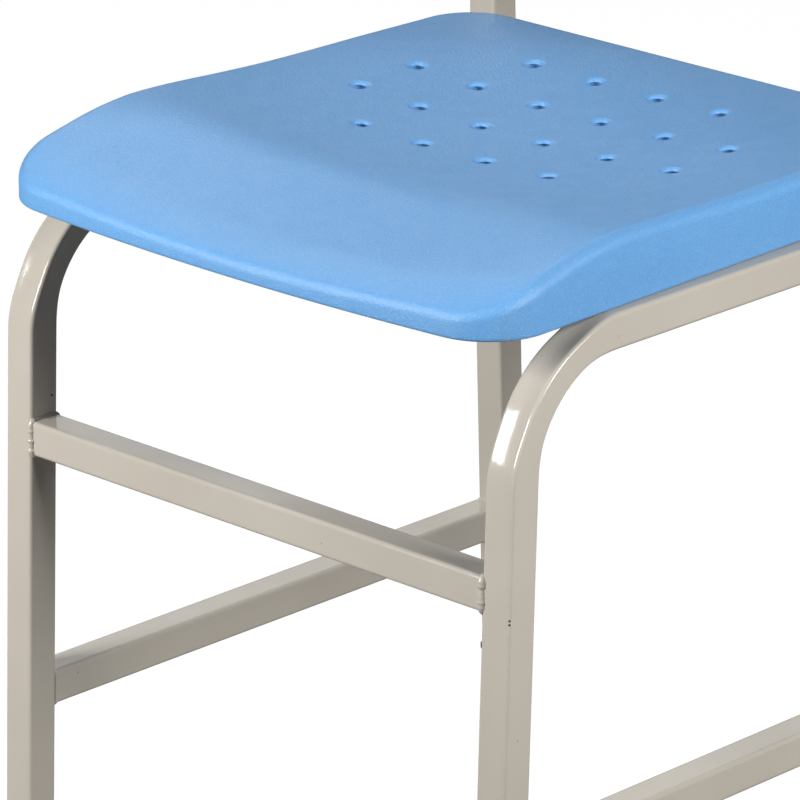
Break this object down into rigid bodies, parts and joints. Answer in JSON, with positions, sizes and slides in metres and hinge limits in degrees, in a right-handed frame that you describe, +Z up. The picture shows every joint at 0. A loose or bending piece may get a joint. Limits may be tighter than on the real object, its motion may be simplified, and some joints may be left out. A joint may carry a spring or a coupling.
{
  "type": "school chair",
  "caption": "Rigid school chair with splayed legs, a welded square-tube frame with stretchers, a dished moulded seat with vent holes and a bowed moulded backrest.",
  "frame": {"origin": "on the floor, under the middle of the chair's bounding box", "axes": "+Z up, -Y the way the sitter faces, +X to the right when the chair is seen from the front"},
  "size_m": [0.418, 0.5058, 0.7849],
  "materials": {
    "enamel": "glossy warm grey enamel",
    "shell": "fine-grained light blue moulded plastic",
    "fixing": "zinc plate",
    "foot": "matt black",
    "plug": "matt black"
  },
  "bodies": {
    "root": {"left_front_leg_rail": "enamel", "left_rear_leg_post": "enamel", "left_side_stretcher": "enamel", "left_side_welds": "enamel", "left_rail_welds": "enamel", "left_seat_brackets": "enamel", "left_front_foot": "foot", "left_rear_foot": "foot", "left_post_plug": "plug", "right_front_leg_rail": "enamel", "right_rear_leg_post": "enamel", "right_side_stretcher": "enamel", "right_side_welds": "enamel", "right_rail_welds": "enamel", "right_seat_brackets": "enamel", "right_front_foot": "foot", "right_rear_foot": "foot", "right_post_plug": "plug", "front_stretcher": "enamel", "rear_crossbar": "enamel", "front_stretcher_welds": "enamel", "rear_crossbar_welds": "enamel", "seat_shell": "shell", "backrest_shell": "shell", "seat_screws": "fixing", "seat_washers": "fixing", "backrest_screws": "fixing", "backrest_washers": "fixing"}
  },
  "joints": []
}
